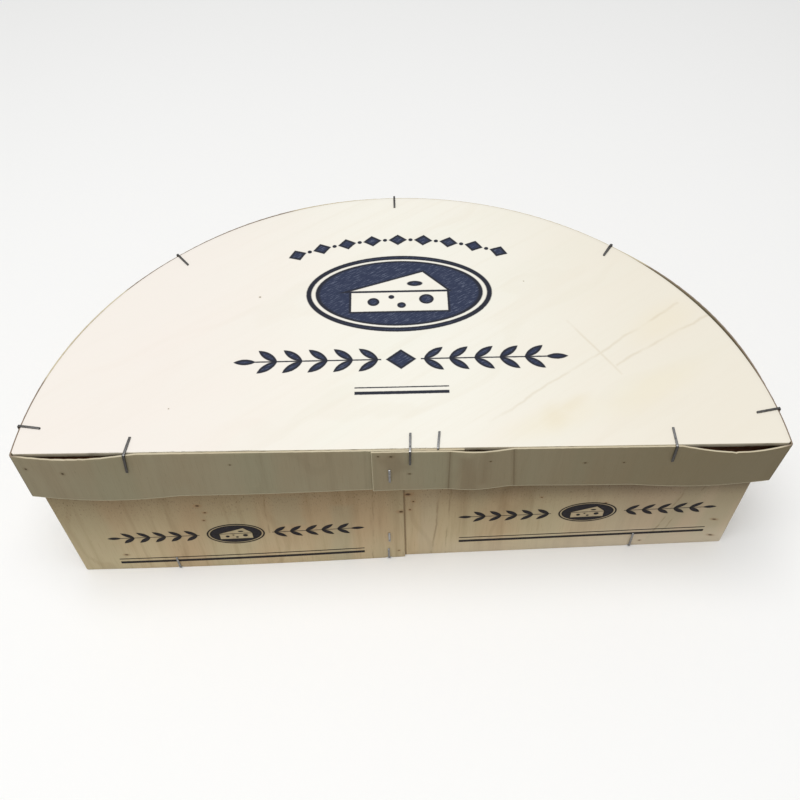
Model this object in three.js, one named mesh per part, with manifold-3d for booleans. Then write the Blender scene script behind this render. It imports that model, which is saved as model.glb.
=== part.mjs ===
// A shut half-round box of thin poplar veneer, of the kind that holds half a wheel of soft cheese.
// The tub is solid, because the box is shut. The lid is a flat panel inside a bent strip, the rim,
// and flat wire staples are folded over its edge and over the foot of the tub.
// Millimetres: X along the straight front, Y from the front to the arc, Z up from the floor.

import * as THREE from "three";
import { mergeVertices } from "three/addons/utils/BufferGeometryUtils.js";
import Module from "manifold-3d";

// The box, outside
const lidRadius = 165; // middle of the front to the outside of the rim
const boxHeight = 98.2; // floor to the top of the panel
const lidTilt = 0.01; // radians, the lid sits a little high at its left end
const tubTurn = 0.011; // radians, the tub has play in the lid and stands a little turned

// The lid
const rimDepth = 30.4; // top of the panel to the foot of the rim
const rimSink = 0.5; // the rim's upper edge below the top of the panel
const rimVeneer = 0.8;
const panelThickness = 2.4;
const panelGap = 0.15; // between the panel's edge and the rim
const frontLeft = 0.6; // Y of the rim's outside at its upper edge, at the left-hand end
const frontRight = -2.1; // and at the right-hand end, while its foot runs along Y 0

// The rim's lap in the front: the strip's outer end covers its inner end
const lapOuterEnd = -12.8;
const lapInnerEnd = 26.7;
const lapGap = 0.1;
const kinkLeft = 21; // between the two kinks the outer layer swells and comes back to the panel
const kinkRight = 48;
const kinkSwell = 1;

// Where the rim stands out between its staples: from, to, and how far out in the middle.
// Along the front these are places on X, at the upper edge and at the foot.
const rightBow = { from: 118.5, to: lidRadius, out: 3.6 };
const upperBows = [{ from: -lidRadius, to: -112, out: 2.5 }, rightBow];
const footBows = [
  { from: -lidRadius, to: -98, out: 2.2 },
  { from: -lidRadius, to: 0, out: 1.6 },
  { from: 56, to: lidRadius, out: 0.7 },
  { from: 102, to: lidRadius, out: 1.7 },
];
// Round the arc they are angles in degrees from +X, at the upper edge.
const arcBows = [
  { from: 10, to: 47, out: 1.5 },
  { from: 93, to: 130, out: 0.5 },
  { from: 134, to: 172, out: 0.3 },
];
const arcBowAtFoot = 0.6; // share of it that is left at the rim's foot

// The tub
const tubInset = 3.7; // the tub's wall behind the outside of the rim
const tubTop = boxHeight - panelThickness - lidTilt * lidRadius - 0.4;
const seamX = 0.3; // the wall's left end lies over its right end here
const seamStep = 1.1;
const seamCut = 0.02; // width of the step's face
const seamFade = 70; // where the lower layer is back in line
const footBulge = 2.1; // the left half of the wall swells at its foot
const bulgeX = -100; // most at this place
const bulgeFade = 1.3; // and by this much less 100 mm away from it
const footDraw = 0.3; // the right half draws in at its foot
const footSkew = 0.0066; // and more to the right, by this share of x

// Flat wire staples
const wireWidth = 1.2;
const wireThickness = 0.7;
const wireGap = 0.1; // between a staple and the wood
const wireTip = 0.3; // length of the slant at a leg's end
const bendRadius = 0.9;
const stapleLeg = 9.5;

// Steps of the faceted curves
const frontStep = 5.5;
const arcSteps = 72;

const wood = {
  panel: new THREE.MeshStandardMaterial({ color: 0xf0e6d4, roughness: 0.75, metalness: 0 }),
  rim: new THREE.MeshStandardMaterial({ color: 0xd2c3a2, roughness: 0.8, metalness: 0 }),
  tub: new THREE.MeshStandardMaterial({ color: 0xd9c39f, roughness: 0.8, metalness: 0 }),
};
const steel = new THREE.MeshStandardMaterial({ color: 0x8d9094, roughness: 0.35, metalness: 1 });

// A half-wave between two places, and nothing beyond them.
function hump(x, { from, to, out }) {
  if (x <= from || x >= to) return 0;
  return out * Math.sin((Math.PI * (x - from)) / (to - from));
}

function sumOf(bows, x) {
  return bows.reduce((sum, bow) => sum + hump(x, bow), 0);
}

// Y of the line that the rim's upper edge follows between its bows.
function frontLine(x) {
  return THREE.MathUtils.mapLinear(x, -lidRadius, lidRadius, frontLeft, frontRight);
}

// How far the rim's front stands out at x, at its upper edge (fall 0) or its foot (fall 1).
function frontBow(x, fall) {
  const upper = sumOf(upperBows, x) - frontLine(x);
  return THREE.MathUtils.lerp(upper, sumOf(footBows, x), fall);
}

// How far the rim stands out along the arc, at an angle in degrees from +X.
function arcBow(angle, fall) {
  return sumOf(arcBows, angle) * THREE.MathUtils.lerp(1, arcBowAtFoot, fall);
}

// How far the outer layer's inside stands before the front line, which is the inner layer's outside.
function lapStand(x) {
  const leave = THREE.MathUtils.smoothstep(x, lapInnerEnd, kinkRight);
  const swell = hump(x, { from: kinkLeft, to: kinkRight, out: kinkSwell });
  return THREE.MathUtils.lerp(lapGap, -rimVeneer, leave) + swell;
}

// Y of the outermost face of the rim's front, in the lid's frame.
function rimFace(x, fall) {
  const layer = x > lapOuterEnd ? lapStand(x) + rimVeneer : 0;
  return -layer - frontBow(x, fall);
}

// Y of the tub's front, at its top (fall 0) or its foot (fall 1).
function tubFace(x, fall) {
  if (x <= seamX) {
    const away = (x - bulgeX) / 100;
    return tubInset - fall * (footBulge - bulgeFade * away * away);
  }
  const step = seamStep * (1 - THREE.MathUtils.smoothstep(x, seamX, seamFade));
  return tubInset + THREE.MathUtils.lerp(step, footDraw + footSkew * x, fall);
}

// Places along the front from one x to another, both included.
function stations(from, to) {
  const count = Math.max(1, Math.round(Math.abs(to - from) / frontStep));
  return Array.from({ length: count + 1 }, (_, i) => THREE.MathUtils.lerp(from, to, i / count));
}

// Points of an arc about the middle of the front, between a Y at its right end and one at its left.
function arcPoints(radius, rightY, leftY, leftwards) {
  const start = Math.asin(rightY / radius);
  const end = Math.PI - Math.asin(leftY / radius);
  const points = [];
  for (let i = 0; i <= arcSteps; i += 1) {
    const share = leftwards ? i / arcSteps : 1 - i / arcSteps;
    const angle = THREE.MathUtils.lerp(start, end, share);
    points.push(new THREE.Vector2(radius * Math.cos(angle), radius * Math.sin(angle)));
  }
  return points;
}

// A plan outline that runs anticlockwise, without points that repeat their neighbour.
function tidyOutline(points) {
  const outline = points.filter((p, i) => p.distanceTo(points[(i + 1) % points.length]) > 0.01);
  return THREE.ShapeUtils.isClockWise(outline) ? outline.reverse() : outline;
}

// The solid between a lower and an upper plan outline with the same number of points.
function loft(lower, upper, bottom, top) {
  const count = lower.length;
  const below = THREE.ShapeUtils.triangulateShape(lower, []).map(([a, b, c]) => [a, c, b]);
  const above = THREE.ShapeUtils.triangulateShape(upper, []).map((face) => face.map((i) => i + count));
  const sides = lower.flatMap((_, i) => {
    const next = (i + 1) % count;
    return [[i, next, next + count], [i, next + count, i + count]];
  });
  const corners = [
    ...lower.map((point) => [point.x, point.y, bottom]),
    ...upper.map((point) => [point.x, point.y, top]),
  ];
  const geometry = new THREE.BufferGeometry();
  geometry.setAttribute("position", new THREE.Float32BufferAttribute(corners.flat(), 3));
  geometry.setIndex([...below, ...above, ...sides].flat());
  const faces = geometry.toNonIndexed();
  faces.computeVertexNormals();
  return faces;
}

// Each vertex of a geometry goes through a function that may change it.
function bend(geometry, change) {
  const position = geometry.getAttribute("position");
  const point = new THREE.Vector3();
  for (let i = 0; i < position.count; i += 1) {
    change(point.fromBufferAttribute(position, i));
    position.setXYZ(i, point.x, point.y, point.z);
  }
  geometry.computeVertexNormals();
  return geometry;
}

function part(name, geometry, material) {
  const mesh = new THREE.Mesh(geometry, material);
  mesh.name = name;
  return mesh;
}

// The lid, in its own frame with the top of the panel at height 0

function makePanel() {
  const inset = rimVeneer + panelGap;
  const outline = arcPoints(lidRadius - inset, frontRight + inset, frontLeft + inset, true);
  return part("lid_panel", loft(outline, outline, -panelThickness, 0), wood.panel);
}

// Where a point of the rim's plan outline lies at its upper edge (fall 0) or its foot (fall 1).
function bowed({ x, y }, fall) {
  if (y < rimVeneer + panelGap) return new THREE.Vector2(x, y - frontBow(x, fall));
  const stand = arcBow(THREE.MathUtils.radToDeg(Math.atan2(y, x)), fall);
  return new THREE.Vector2(x, y).multiplyScalar(1 + stand / Math.hypot(x, y));
}

function makeRim() {
  const onLine = (x, y) => new THREE.Vector2(x, y);
  const innerRadius = lidRadius - rimVeneer;
  const rightInner = arcPoints(innerRadius, rimVeneer, rimVeneer, false).at(-1).x;
  const outline = tidyOutline([
    ...stations(lapOuterEnd, kinkLeft).map((x) => onLine(x, -lapStand(x) - rimVeneer)),
    ...stations(kinkLeft, kinkRight).map((x) => onLine(x, -lapStand(x) - rimVeneer)),
    ...stations(kinkRight, rightBow.from).map((x) => onLine(x, 0)),
    ...stations(rightBow.from, lidRadius).map((x) => onLine(x, 0)),
    ...arcPoints(lidRadius, 0, 0, true),
    ...stations(-lidRadius, lapInnerEnd).map((x) => onLine(x, 0)),
    ...stations(lapInnerEnd, -rightInner).map((x) => onLine(x, rimVeneer)),
    ...arcPoints(innerRadius, rimVeneer, rimVeneer, false),
    ...stations(rightInner, rightBow.from).map((x) => onLine(x, rimVeneer)),
    ...stations(rightBow.from, kinkRight).map((x) => onLine(x, rimVeneer)),
    ...stations(kinkRight, kinkLeft).map((x) => onLine(x, -lapStand(x))),
    ...stations(kinkLeft, lapOuterEnd).map((x) => onLine(x, -lapStand(x))),
  ]);
  const outlineAt = (fall) => outline.map((point) => bowed(point, fall));
  return part("lid_rim", loft(outlineAt(1), outlineAt(0), -rimDepth, -rimSink), wood.rim);
}

// Staples. Each is made with x along the edge, y inwards from the outer face and z upwards.

// The side view of a folded staple: one leg inwards on the top, one leg down the outside.
function foldedProfile(topLeg, sideLeg) {
  const near = wireGap;
  const far = wireGap + wireThickness;
  const profile = new THREE.Shape();
  profile.moveTo(topLeg, near);
  profile.lineTo(topLeg - wireTip, far);
  profile.absarc(bendRadius - far, far - bendRadius, bendRadius, Math.PI / 2, Math.PI, false);
  profile.lineTo(-far, wireTip - sideLeg);
  profile.lineTo(-near, -sideLeg);
  profile.lineTo(-near, near);
  return profile;
}

function foldedStaple(name, topLeg, sideLeg, topLean = 0, sideLean = 0, sideOut = 0) {
  const geometry = new THREE.ExtrudeGeometry(foldedProfile(topLeg, sideLeg), {
    depth: wireWidth,
    bevelEnabled: false,
    curveSegments: 4,
  });
  geometry.translate(0, 0, -wireWidth / 2);
  bend(geometry, (point) => {
    point.z += topLean * Math.max(point.x, 0) + sideLean * Math.max(-point.y, 0);
    point.x -= sideOut * Math.max(-point.y, 0);
  });
  return part(name, geometry, steel);
}

// Turns a staple's side view so that it stands across an edge.
function acrossEdge(mesh) {
  const inwards = new THREE.Vector3(0, 1, 0);
  const upwards = new THREE.Vector3(0, 0, 1);
  const alongEdge = new THREE.Vector3(1, 0, 0);
  mesh.geometry.applyMatrix4(new THREE.Matrix4().makeBasis(inwards, upwards, alongEdge));
  return mesh;
}

function placeOnArc(mesh, degrees, radius, z) {
  const angle = THREE.MathUtils.degToRad(degrees);
  mesh.position.set(radius * Math.cos(angle), radius * Math.sin(angle), z);
  mesh.rotation.z = angle + Math.PI / 2;
  return mesh;
}

// A staple that lies flat and upright on the front, whose surface is at the given Y.
function flatStaple({ name, x, top, length }, face) {
  const profile = new THREE.Shape();
  profile.moveTo(0, 0);
  profile.lineTo(-wireThickness, -wireTip);
  profile.lineTo(-wireThickness, wireTip - length);
  profile.lineTo(0, -length);
  const geometry = new THREE.ExtrudeGeometry(profile, { depth: wireWidth, bevelEnabled: false });
  geometry.translate(-wireGap, 0, -wireWidth / 2);
  const mesh = acrossEdge(part(name, geometry, steel));
  mesh.position.set(x, face, top);
  return mesh;
}

// Folded over the lid's front edge: place along it, leg lengths, and lean of each leg
const frontStaples = [
  { name: "staple_lid_front_left", x: -116.4, top: 9.2, side: 11, topLean: 0.12, sideLean: -0.08 },
  { name: "staple_lid_front_middle", x: 3.7, top: 8.2, side: 9.8, topLean: 0.04, sideLean: 0 },
  { name: "staple_lid_front_right", x: 115.9, top: 8.2, side: 11, topLean: 0.02, sideLean: 0.02 },
];

// This one holds the rim's inner layer: its side leg is behind the outer one, and only its top shows
const tuckedStaple = { name: "staple_lid_front_tucked", x: 15.5, top: 8.9, side: 0.4, topLean: 0.12 };

// Flat and upright: over the rim's lap, its top given from the panel's top, and beside the tub's
// seam, its top given from the floor
const rimStaple = { name: "staple_rim_lap", x: -5.2, top: -13.2, length: 9.7 };
const seamStaple = { name: "staple_tub_seam", x: -7, top: 24.5, length: 8 };

// Folded over the lid's arc: angle from +X, length of the top leg and its lean
const arcStaples = [
  { name: "staple_lid_arc_right", angle: 5.9, top: 10.7, lean: -0.09 },
  { name: "staple_lid_arc_upper_right", angle: 48.6, top: 9.6, lean: -0.14 },
  { name: "staple_lid_arc_middle", angle: 90.1, top: 9, lean: 0 },
  { name: "staple_lid_arc_upper_left", angle: 131.9, top: 10.1, lean: 0.05 },
  { name: "staple_lid_arc_left", angle: 174.4, top: 9.9, lean: 0.07 },
];

function makeLidStaples() {
  const staples = frontStaples.map(({ name, x, top, side, topLean, sideLean }) => {
    const faceAt = (fall) => Math.min(rimFace(x - wireWidth, fall), rimFace(x + wireWidth, fall));
    const face = faceAt(0);
    const sideOut = (face - faceAt(1)) / rimDepth;
    const mesh = acrossEdge(foldedStaple(name, top - face, side, topLean, sideLean, sideOut));
    mesh.position.set(x, face, 0);
    return mesh;
  });
  for (const { name, angle, top, lean } of arcStaples) {
    const mesh = acrossEdge(foldedStaple(name, top, stapleLeg, lean));
    staples.push(placeOnArc(mesh, angle, lidRadius + arcBow(angle, 0), 0));
  }
  const { name, x, top, side, topLean } = tuckedStaple;
  const tucked = acrossEdge(foldedStaple(name, top, side, topLean));
  tucked.position.set(x, frontLine(x) + wireThickness, 0);
  staples.push(tucked, flatStaple(rimStaple, rimFace(rimStaple.x, -rimStaple.top / rimDepth)));
  return staples;
}

// The tub and what is stapled round its foot

// Folded under the foot: place on the front or angle on the arc, and height of the outer leg
const footStaples = [
  { name: "staple_foot_front_left", x: -113.1, side: 10.6 },
  { name: "staple_foot_front_middle", x: -7.7, side: 9.8 },
  { name: "staple_foot_front_right", x: 114.2, side: 12.8 },
  { name: "staple_foot_arc_right", angle: 12, side: 8 },
  { name: "staple_foot_arc_upper_right", angle: 51, side: 9 },
  { name: "staple_foot_arc_middle", angle: 90, side: 8.5 },
  { name: "staple_foot_arc_upper_left", angle: 129, side: 9 },
  { name: "staple_foot_arc_left", angle: 168, side: 8 },
];
const tubRadius = lidRadius - tubInset;
const floorGap = 0.05; // the leg under the foot is just above the floor
const footLift = wireGap + wireThickness + floorGap;
const slotRoom = 0.3; // round the leg, in the slot that holds it

// A shape made for a lid's edge is turned over, and set at the place of a foot staple.
function placeAtFoot(mesh, staple) {
  mesh.geometry.rotateX(Math.PI);
  acrossEdge(mesh);
  if (staple.angle === undefined) {
    const face = Math.min(tubFace(staple.x, 1), tubFace(staple.x, 1 - staple.side / tubTop));
    mesh.position.set(staple.x, face, footLift);
    return mesh;
  }
  return placeOnArc(mesh, staple.angle, tubRadius, footLift);
}

function makeTubStaples() {
  const staples = footStaples.map((staple) =>
    placeAtFoot(foldedStaple(staple.name, stapleLeg, staple.side - footLift), staple),
  );
  const seamFall = 1 - (seamStaple.top - seamStaple.length) / tubTop;
  staples.push(flatStaple(seamStaple, tubFace(seamStaple.x, seamFall)));
  return staples;
}

// The slot in the tub's underside that a foot staple's inner leg lies in.
function slotCutter(staple) {
  const length = stapleLeg + slotRoom + bendRadius;
  const height = wireThickness + wireGap + 2 * slotRoom;
  const geometry = new THREE.BoxGeometry(length, height, wireWidth + 2 * slotRoom);
  geometry.translate(length / 2 - bendRadius, height / 2 - slotRoom, 0);
  return placeAtFoot(part("slot", geometry, steel), staple);
}

const wasm = await Module();
wasm.setup();

function solidOf(mesh) {
  mesh.updateMatrixWorld(true);
  const geometry = mesh.geometry.clone().applyMatrix4(mesh.matrixWorld);
  geometry.deleteAttribute("normal");
  geometry.deleteAttribute("uv");
  const merged = mergeVertices(geometry, 1e-3);
  return new wasm.Manifold(
    new wasm.Mesh({
      numProp: 3,
      vertProperties: merged.getAttribute("position").array,
      triVerts: new Uint32Array(merged.index.array),
    }),
  );
}

function geometryOf(solid) {
  const { vertProperties, triVerts } = solid.getMesh();
  const geometry = new THREE.BufferGeometry();
  geometry.setAttribute("position", new THREE.BufferAttribute(vertProperties, 3));
  geometry.setIndex(new THREE.BufferAttribute(triVerts, 1));
  const faces = geometry.toNonIndexed();
  faces.computeVertexNormals();
  return faces;
}

function makeTub() {
  const arc = arcPoints(tubRadius, tubInset, tubInset, true);
  const corner = arc[0].x;
  const front = [...stations(-corner, seamX), ...stations(seamX + seamCut, corner)];
  const outlineAt = (fall) => [
    ...front.map((x) => new THREE.Vector2(x, tubFace(x, fall))),
    ...arc.slice(1, -1),
  ];
  const geometry = loft(outlineAt(1), outlineAt(0), 0, tubTop);
  const slots = footStaples.map((staple) => solidOf(slotCutter(staple)));
  const whole = solidOf(part("tub", geometry, wood.tub));
  const slotted = slots.reduce((left, slot) => left.subtract(slot), whole);
  return part("tub", geometryOf(slotted), wood.tub);
}

const lid = new THREE.Group();
lid.add(makePanel(), makeRim(), ...makeLidStaples());
lid.position.z = boxHeight;
lid.rotation.y = lidTilt;

const bottom = new THREE.Group();
bottom.add(makeTub(), ...makeTubStaples());
bottom.rotation.z = tubTurn;

const box = new THREE.Group();
box.add(bottom, lid);

// The origin is the middle of the underside of the whole box.
const bounds = new THREE.Box3().setFromObject(box, true);
const middle = bounds.getCenter(new THREE.Vector3());
box.position.set(-middle.x, -middle.y, -bounds.min.z);

const group = new THREE.Group();
group.add(box);

export default group;
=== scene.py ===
import math

import bmesh
import bpy
from mathutils import Matrix, Vector, noise


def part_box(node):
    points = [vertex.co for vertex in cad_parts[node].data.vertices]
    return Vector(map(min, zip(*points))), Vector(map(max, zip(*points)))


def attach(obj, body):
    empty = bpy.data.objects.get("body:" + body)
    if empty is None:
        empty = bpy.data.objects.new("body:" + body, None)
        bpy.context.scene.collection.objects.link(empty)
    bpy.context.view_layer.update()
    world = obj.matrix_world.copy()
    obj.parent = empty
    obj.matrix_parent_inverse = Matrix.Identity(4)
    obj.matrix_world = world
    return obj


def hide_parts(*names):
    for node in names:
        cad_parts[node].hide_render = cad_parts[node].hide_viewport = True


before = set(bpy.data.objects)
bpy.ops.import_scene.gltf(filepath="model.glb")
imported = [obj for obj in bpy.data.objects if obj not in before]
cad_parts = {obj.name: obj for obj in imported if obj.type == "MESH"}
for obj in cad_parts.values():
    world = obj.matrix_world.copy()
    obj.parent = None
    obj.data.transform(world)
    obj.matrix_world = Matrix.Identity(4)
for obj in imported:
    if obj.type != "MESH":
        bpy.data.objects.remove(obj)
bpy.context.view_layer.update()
print("frame loaded:", len(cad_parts), "solids")

# Sizes in the dictionaries are millimetres, and a mesh is brought to metres as it is placed.
# x runs along the straight front, y from the front to the arc, z up from the floor.
perMetre = 0.001

box = {
    "lidRadius": 165,
    "height": 98.2,
    "lidTilt": 0.01,  # radians, the lid's left end sits a little high
    "tubTurn": 0.011,  # radians, the tub stands a little turned under the lid
}


def mix(a, b, share):
    return a + (b - a) * share


def smooth(x, start, end):
    share = min(1, max(0, (x - start) / (end - start)))
    return share * share * (3 - 2 * share)


def hump(x, start, end, out):
    if x <= start or x >= end:
        return 0
    return out * math.sin(math.pi * (x - start) / (end - start))


# The middle of the front line on the floor, worked out from where the lid's panel lies
def findFront():
    low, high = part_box("lid_panel")
    lean = panel["thickness"] / 2 * math.sin(box["lidTilt"]) * perMetre
    return Vector(((low.x + high.x) / 2 + lean, low.y - panel["cadFront"] * perMetre, 0))


def lidPlace():
    lift = Matrix.Translation(findFront() + Vector((0, 0, box["height"] * perMetre)))
    return lift @ Matrix.Rotation(box["lidTilt"], 4, "Y") @ Matrix.Scale(perMetre, 4)


def tubPlace():
    turn = Matrix.Rotation(box["tubTurn"], 4, "Z")
    return Matrix.Translation(findFront()) @ turn @ Matrix.Scale(perMetre, 4)


# A D-shaped walk: right along the front, round a small corner, round the arc and back to the front
class Walk:
    def __init__(self, radius, front, corner):
        self.radius = radius
        self.front = front
        self.corner = corner
        self.half = math.sqrt((radius - corner) ** 2 - (front + corner) ** 2)
        self.turn = math.atan2(front + corner, self.half)
        self.bend = corner * (math.pi / 2 + self.turn)
        self.arc = radius * (math.pi - 2 * self.turn)
        self.total = 2 * self.half + 2 * self.bend + self.arc
        self.fade = 7  # of the arc, in which it stops following the front

    # Point on the walk, the direction out of the D there, and how much of the front it still is
    def at(self, walked):
        mirrored = walked > self.total / 2
        along = self.total - walked if mirrored else walked
        if along <= self.half:
            point, out, share = Vector((along, self.front)), Vector((0, -1)), 1
        elif along <= self.half + self.bend:
            angle = (along - self.half) / self.corner - math.pi / 2
            out = Vector((math.cos(angle), math.sin(angle)))
            point = Vector((self.half, self.front + self.corner)) + out * self.corner
            share = 1
        else:
            past = along - self.half - self.bend
            angle = self.turn + past / self.radius
            out = Vector((math.cos(angle), math.sin(angle)))
            point = out * self.radius
            share = 1 - smooth(past, 0, self.fade)
        if mirrored:
            point.x, out.x = -point.x, -out.x
        return point, out, share

    # What is walked to a place on the arc, by its angle
    def onArc(self, angle):
        return self.half + self.bend + self.radius * (math.radians(angle) - self.turn)

    # What is walked to a place on the left half of the front
    def left(self, x):
        return self.total + x

    # What is walked to a point of the D, where the walk's two ends meet at the seam
    def unroll(self, point, seam):
        side = abs(point.x)
        if side < self.half and point.y < self.front + self.corner + 3:
            return point.x if point.x > seam else self.left(point.x)
        lean = math.atan2(point.y - self.front - self.corner, side - self.half) + math.pi / 2
        if lean < math.pi / 2 + self.turn and point.y < self.front + self.corner:
            along = self.half + self.corner * max(0, lean)
        else:
            angle = math.atan2(point.y, side)
            along = self.half + self.bend + self.radius * max(0, angle - self.turn)
        return along if point.x > 0 else self.total - along

    # Places where the strip needs more columns to go round its corners
    def cornerCuts(self, count=6):
        firsts = [self.half + self.bend * i / count for i in range(count + 1)]
        return firsts + [self.total - place for place in firsts]


# A flat strip standing on its edge: x along it, z up, its outside facing -y
def flatStrip(start, end, bottom, top, step, cuts):
    bm = bmesh.new()
    columns = round((end - start) / step)
    rows = max(2, round((top - bottom) / step / 2))
    bmesh.ops.create_grid(bm, x_segments=columns, y_segments=rows, size=0.5)
    bmesh.ops.scale(bm, vec=(end - start, top - bottom, 1), verts=bm.verts)
    bmesh.ops.rotate(bm, cent=(0, 0, 0), matrix=Matrix.Rotation(math.pi / 2, 3, "X"), verts=bm.verts)
    bmesh.ops.translate(bm, vec=((start + end) / 2, 0, (bottom + top) / 2), verts=bm.verts)
    for place in cuts:
        whole = bm.verts[:] + bm.edges[:] + bm.faces[:]
        bmesh.ops.bisect_plane(bm, geom=whole, dist=1e-4, plane_co=(place, 0, 0), plane_no=(1, 0, 0))
    bmesh.ops.remove_doubles(bm, verts=bm.verts, dist=0.08)  # where a cut falls beside a column
    return bm


def softenEdges(bm, width, segments=2, angle=50):
    sharp = [e for e in bm.edges if e.is_manifold and e.calc_face_angle(0) > math.radians(angle)]
    bmesh.ops.bevel(
        bm, geom=sharp, offset=width, segments=segments, profile=0.5, affect="EDGES", material=-1
    )


# Keeps where each point lies on the flat wood: for the print, and turned along the grain
def keepFlat(bm, grainTurn=None):
    flat = bm.verts.layers.float_vector.new("flat")
    grain = bm.verts.layers.float_vector.new("grain")
    for vert in bm.verts:
        vert[flat] = vert.co
        vert[grain] = grainTurn @ vert.co if grainTurn else vert.co


# Faces that show the cut wood get the second material
def markCuts(bm, least=0.75):
    bm.normal_update()
    for face in bm.faces:
        face.material_index = 1 if max(abs(face.normal.x), abs(face.normal.z)) > least else 0


def finishPiece(name, bm, place, finishes, node):
    bmesh.ops.transform(bm, matrix=place, verts=bm.verts)
    for face in bm.faces:
        face.smooth = True
    mesh = bpy.data.meshes.new(name)
    bm.to_mesh(mesh)
    bm.free()
    mesh.set_sharp_from_angle(angle=math.radians(40))
    piece = bpy.data.objects.new(name, mesh)
    bpy.context.scene.collection.objects.link(piece)
    for finish in finishes:
        mesh.materials.append(finish)
    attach(piece, "root")
    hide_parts(node)
    return piece


# A number or vector that changes over a surface, so that maths on it reads as plain Python
class Signal:
    def __init__(self, finish, socket):
        self.finish = finish
        self.socket = socket

    def __add__(self, other):
        return self.finish.maths("ADD", self, other)

    def __sub__(self, other):
        return self.finish.maths("SUBTRACT", self, other)

    def __rsub__(self, other):
        return self.finish.maths("SUBTRACT", other, self)

    def __mul__(self, other):
        return self.finish.maths("MULTIPLY", self, other)

    def __neg__(self):
        return self.finish.maths("MULTIPLY", self, -1)

    def __abs__(self):
        return self.finish.maths("ABSOLUTE", self)

    __radd__ = __add__


class Finish:
    def __init__(self, name, **constants):
        self.material = bpy.data.materials.new(name)
        self.material.use_nodes = True
        self.tree = self.material.node_tree
        self.shader = self.tree.nodes["Principled BSDF"]
        for socket, value in constants.items():
            self.shader.inputs[socket.replace("_", " ")].default_value = value

    # Any node: its type, its settings, then the values or links of its sockets
    def node(self, kind, settings=None, sockets=None, output=0):
        made = self.tree.nodes.new(kind)
        for key, value in (settings or {}).items():
            setattr(made, key, value)
        for key, value in (sockets or {}).items():
            self.feed(made.inputs[key], value)
        return Signal(self, made.outputs[output])

    def feed(self, socket, value):
        if isinstance(value, Signal):
            self.tree.links.new(value.socket, socket)
        else:
            socket.default_value = value

    def maths(self, operation, *values):
        return self.node("ShaderNodeMath", {"operation": operation}, dict(enumerate(values)))

    def vectors(self, operation, *values, output=0):
        sockets = dict(enumerate(values))
        return self.node("ShaderNodeVectorMath", {"operation": operation}, sockets, output)

    def least(self, *values):
        found = values[0]
        for value in values[1:]:
            found = self.maths("MINIMUM", found, value)
        return found

    def most(self, *values):
        found = values[0]
        for value in values[1:]:
            found = self.maths("MAXIMUM", found, value)
        return found

    # From 0 at the start to 1 at the end, eased
    def ease(self, value, start, end):
        settings = {"interpolation_type": "SMOOTHSTEP"}
        sockets = {"Value": value, "From Min": start, "From Max": end}
        return self.node("ShaderNodeMapRange", settings, sockets)

    def place(self, attribute):
        settings = {"attribute_type": "GEOMETRY", "attribute_name": attribute}
        return self.node("ShaderNodeAttribute", settings, output="Vector")

    def axis(self, place, which):
        return self.node("ShaderNodeSeparateXYZ", None, {0: place}, which)

    def cloud(self, place, scale, detail=2, roughness=0.5, shift=0):
        moved = {"Vector": place, "Location": (shift, shift, shift), "Scale": scale}
        spread = self.node("ShaderNodeMapping", None, moved)
        sockets = {"Vector": spread, "Scale": 1, "Detail": detail, "Roughness": roughness}
        return self.node("ShaderNodeTexNoise", None, sockets)

    def tint(self, under, over, share):
        settings = {"data_type": "RGBA"}
        return self.node("ShaderNodeMix", settings, {0: share, 6: under, 7: over}, 2)

    # 1 from where the first step ends to where the second starts, 0 outside them
    def between(self, value, rise, fall):
        return self.ease(value, *rise) * (1 - self.ease(value, *fall))

    # A coat is its tone, its strength, and the measure where it starts and where it is full
    def lay(self, under, coat, measure, mask=None):
        tone, strength, start, full = coat
        share = self.ease(measure, start, full)
        if mask:
            share = share * mask
        return self.tint(under, tone, share * strength)


def shade(red, green, blue):
    def linear(part):
        share = part / 255
        return share / 12.92 if share <= 0.04045 else ((share + 0.055) / 1.055) ** 2.4

    return (linear(red), linear(green), linear(blue), 1)


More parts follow.
